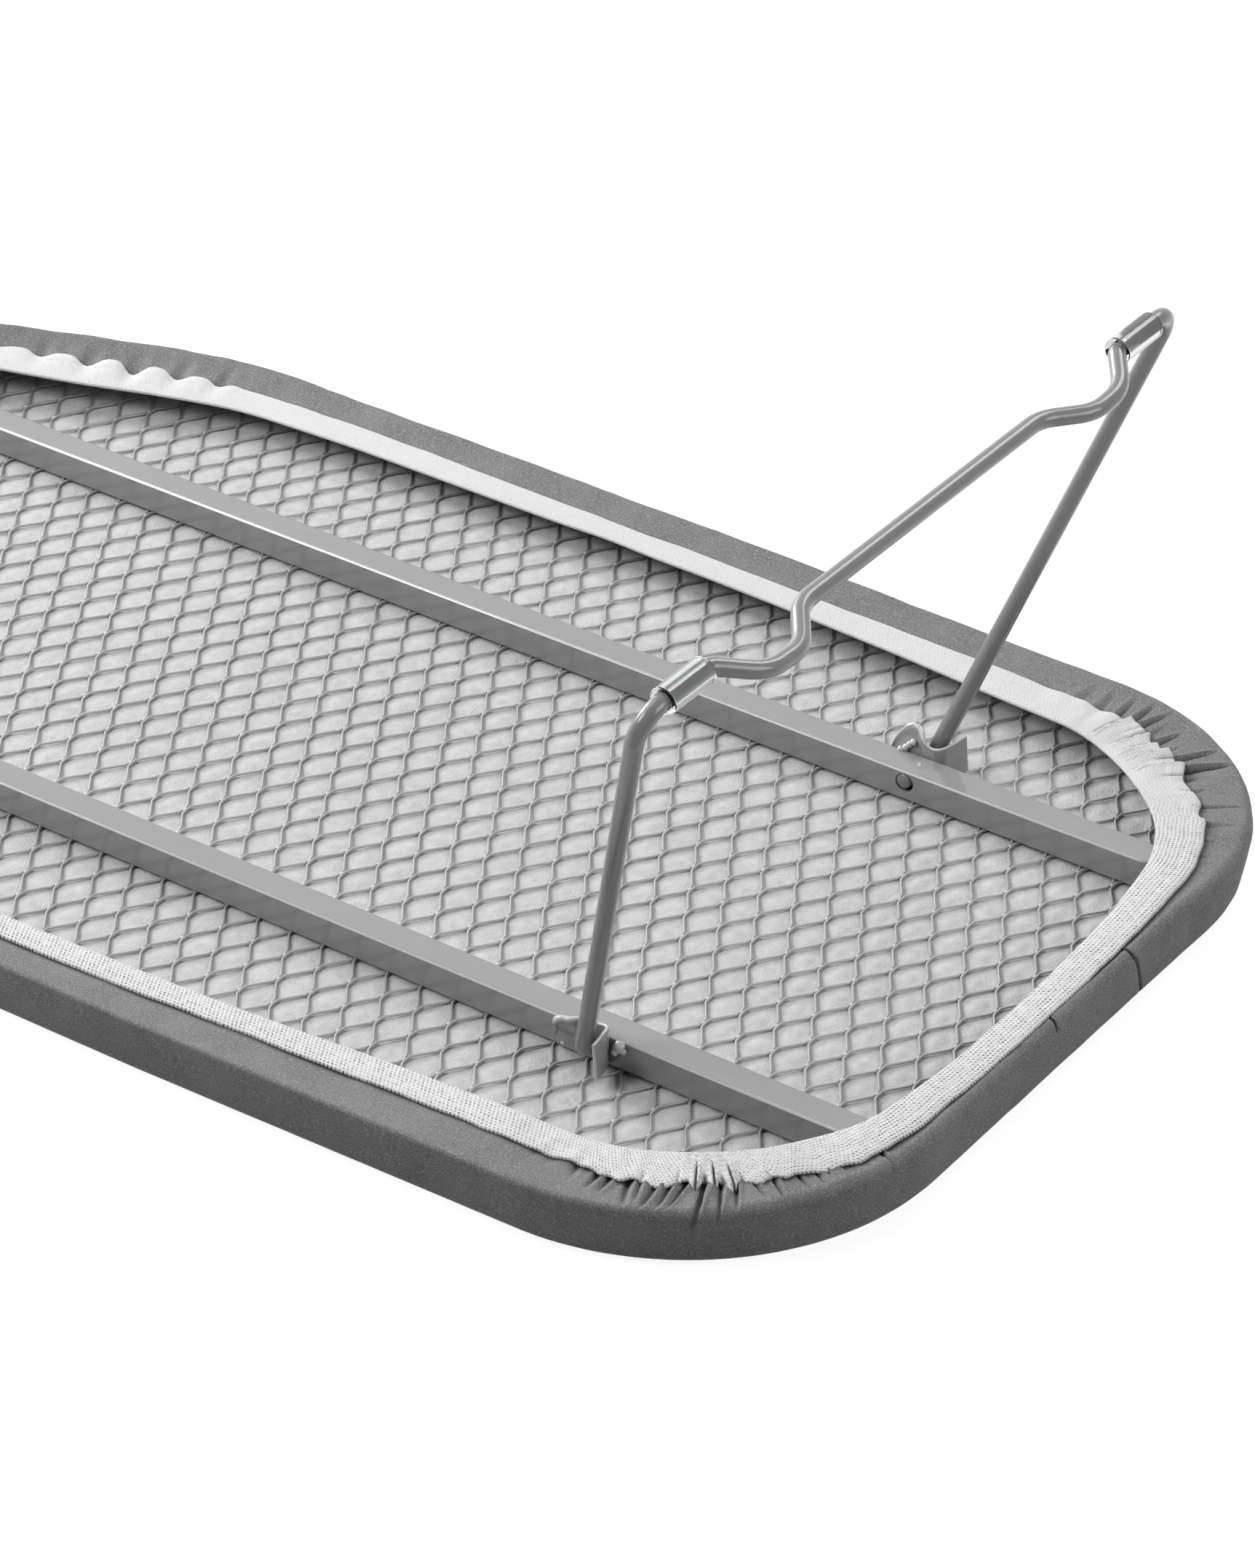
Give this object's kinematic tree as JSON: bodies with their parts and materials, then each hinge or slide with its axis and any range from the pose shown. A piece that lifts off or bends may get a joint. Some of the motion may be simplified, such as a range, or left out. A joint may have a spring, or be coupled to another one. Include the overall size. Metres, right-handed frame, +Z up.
{
  "type": "tabletop ironing board",
  "caption": "Board with a rounded nose and a square end, in a drawn-on padded cloth cover, lying face down on a table with two folding wire legs unfolded.",
  "frame": {"origin": "on the ironing face, under the middle of the board's box", "axes": "+X along the board to its square end, +Y across to the far long side, +Z up, out of the underside; the board lies on its ironing face"},
  "size_m": [0.73, 0.3, 0.1588],
  "materials": {
    "cover_cloth": "fine coated cotton, faintly sparkling",
    "elastic_knit": "ribbed white knit",
    "felt": "matt pressed felt",
    "grey_paint": "semi-gloss grey powder coat",
    "clear_vinyl": "clear glossy tube"
  },
  "bodies": {
    "board": {"cover": "cover_cloth", "elastic_band": "elastic_knit", "felt_pad": "felt", "mesh_panel": "grey_paint", "rim_frame": "grey_paint", "rail_near": "grey_paint", "rail_far": "grey_paint", "square_end_bracket_near": "grey_paint", "square_end_bracket_far": "grey_paint", "nose_end_bracket_near": "grey_paint", "nose_end_bracket_far": "grey_paint"},
    "square_end_leg_frame": {"square_end_leg": "grey_paint", "square_end_foot_sleeve_near": "clear_vinyl", "square_end_foot_sleeve_far": "clear_vinyl"},
    "nose_end_leg_frame": {"nose_end_leg": "grey_paint", "nose_end_foot_sleeve_near": "clear_vinyl", "nose_end_foot_sleeve_far": "clear_vinyl"}
  },
  "joints": [
    {"name": "square_end_leg_fold", "type": "hinge", "parent": "board", "child": "square_end_leg_frame", "pos_m": [0.2653, 0, 0.0131], "axis": [0, 1, 0], "range_deg": [-107.5, 0]},
    {"name": "nose_end_leg_fold", "type": "hinge", "parent": "board", "child": "nose_end_leg_frame", "pos_m": [-0.105, 0, 0.0131], "axis": [0, 1, 0], "range_deg": [0, 107.5]}
  ]
}
